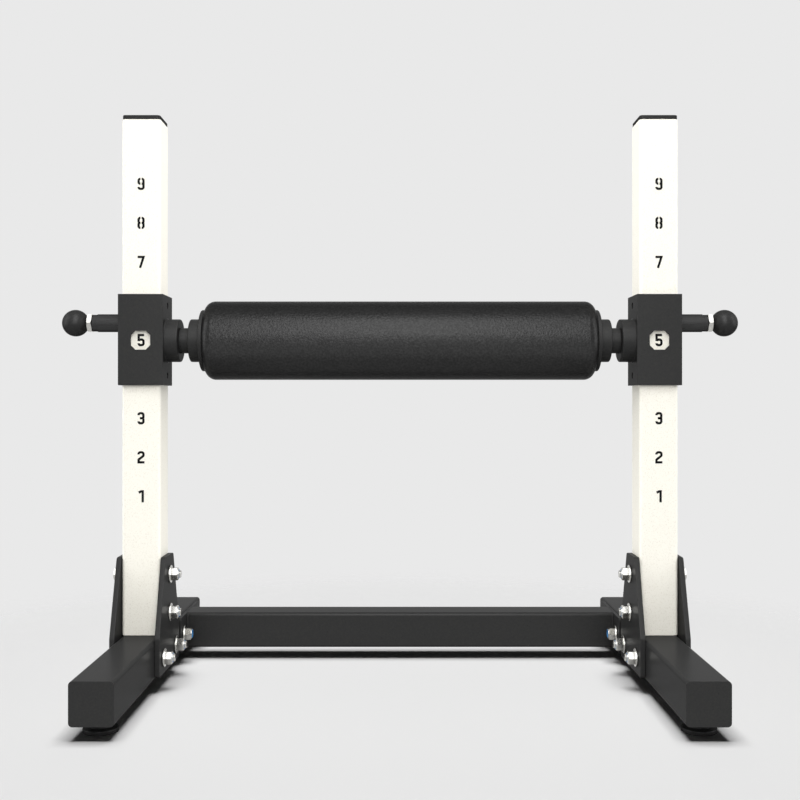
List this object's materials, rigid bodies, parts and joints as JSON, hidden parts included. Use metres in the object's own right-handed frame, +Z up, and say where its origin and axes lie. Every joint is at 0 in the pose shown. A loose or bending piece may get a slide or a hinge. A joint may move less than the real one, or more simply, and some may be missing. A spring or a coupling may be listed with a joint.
{
  "type": "single leg squat stand",
  "caption": "Free-standing padded roller between two uprights on bolted feet, set to height by spring plungers, for resting the rear foot in single leg squats.",
  "frame": {"origin": "on the floor, midway between the two uprights and on their centre plane", "axes": "+Z up, +X to the stand's right as seen from the front, -Y towards the front; the cross member is behind at +Y"},
  "size_m": [1.066, 0.62, 0.8874],
  "materials": {
    "black_powder_coat": "satin",
    "ivory_powder_coat": "satin",
    "zinc_plated_steel": "satin",
    "bare_steel": "satin",
    "black_nylon": "satin",
    "black_foam": "matte"
  },
  "bodies": {
    "frame": {"cross_member": "black_powder_coat", "left_foot_tube": "black_powder_coat", "left_front_flange_bolt": "zinc_plated_steel", "left_front_flange_nut": "zinc_plated_steel", "left_front_foot_bolt": "zinc_plated_steel", "left_front_foot_nut": "zinc_plated_steel", "left_inner_gusset": "black_powder_coat", "left_lower_gusset_bolt": "zinc_plated_steel", "left_lower_gusset_nut": "zinc_plated_steel", "left_outer_gusset": "black_powder_coat", "left_rear_flange_bolt": "zinc_plated_steel", "left_rear_flange_nut": "zinc_plated_steel", "left_rear_foot_bolt": "zinc_plated_steel", "left_rear_foot_nut": "zinc_plated_steel", "left_upper_gusset_bolt": "zinc_plated_steel", "left_upper_gusset_nut": "zinc_plated_steel", "left_upright": "ivory_powder_coat", "left_upright_cap": "black_nylon", "right_foot_tube": "black_powder_coat", "right_front_flange_bolt": "zinc_plated_steel", "right_front_flange_nut": "zinc_plated_steel", "right_front_foot_bolt": "zinc_plated_steel", "right_front_foot_nut": "zinc_plated_steel", "right_inner_gusset": "black_powder_coat", "right_lower_gusset_bolt": "zinc_plated_steel", "right_lower_gusset_nut": "zinc_plated_steel", "right_outer_gusset": "black_powder_coat", "right_rear_flange_bolt": "zinc_plated_steel", "right_rear_flange_nut": "zinc_plated_steel", "right_rear_foot_bolt": "zinc_plated_steel", "right_rear_foot_nut": "zinc_plated_steel", "right_upper_gusset_bolt": "zinc_plated_steel", "right_upper_gusset_nut": "zinc_plated_steel", "right_upright": "ivory_powder_coat", "right_upright_cap": "black_nylon"},
    "carriage": {"axle": "black_powder_coat", "left_liner": "black_nylon", "left_pin_barrel": "black_powder_coat", "left_plunger_spring": "bare_steel", "left_sleeve": "black_powder_coat", "right_liner": "black_nylon", "right_pin_barrel": "black_powder_coat", "right_plunger_spring": "bare_steel", "right_sleeve": "black_powder_coat"},
    "roller": {"foam_pad": "black_foam", "left_bearing": "bare_steel", "left_roller_hub": "black_powder_coat", "right_bearing": "bare_steel", "right_roller_hub": "black_powder_coat", "roller_core": "bare_steel"},
    "left_plunger": {"left_ball_knob": "black_nylon", "left_jam_nut": "zinc_plated_steel", "left_pull_pin": "black_powder_coat"},
    "right_plunger": {"right_ball_knob": "black_nylon", "right_jam_nut": "zinc_plated_steel", "right_pull_pin": "black_powder_coat"},
    "front_left_levelling_foot": {"front_left_levelling_foot": "black_nylon"},
    "front_right_levelling_foot": {"front_right_levelling_foot": "black_nylon"},
    "rear_left_levelling_foot": {"rear_left_levelling_foot": "black_nylon"},
    "rear_right_levelling_foot": {"rear_right_levelling_foot": "black_nylon"}
  },
  "joints": [
    {"name": "height_slide", "type": "slide", "parent": "frame", "child": "carriage", "axis": [0, 0, 1], "range_m": [-0.2426, 0.2426]},
    {"name": "roller_spin", "type": "hinge", "parent": "carriage", "child": "roller", "pos_m": [0, 0, 0.5382], "axis": [1, 0, 0], "continuous": true},
    {"name": "left_plunger_slide", "type": "slide", "parent": "carriage", "child": "left_plunger", "axis": [1, 0, 0], "range_m": [0, 0.007], "stiffness_N_per_m": 600, "springref_m": 0.02, "deforming": ["left_plunger_spring"]},
    {"name": "right_plunger_slide", "type": "slide", "parent": "carriage", "child": "right_plunger", "axis": [-1, 0, 0], "range_m": [0, 0.007], "stiffness_N_per_m": 600, "springref_m": 0.02, "deforming": ["right_plunger_spring"]},
    {"name": "front_left_foot_screw", "type": "slide", "parent": "frame", "child": "front_left_levelling_foot", "axis": [0, 0, -1], "range_m": [0, 0.01]},
    {"name": "front_right_foot_screw", "type": "slide", "parent": "frame", "child": "front_right_levelling_foot", "axis": [0, 0, -1], "range_m": [0, 0.01]},
    {"name": "rear_left_foot_screw", "type": "slide", "parent": "frame", "child": "rear_left_levelling_foot", "axis": [0, 0, -1], "range_m": [0, 0.01]},
    {"name": "rear_right_foot_screw", "type": "slide", "parent": "frame", "child": "rear_right_levelling_foot", "axis": [0, 0, -1], "range_m": [0, 0.01]}
  ]
}
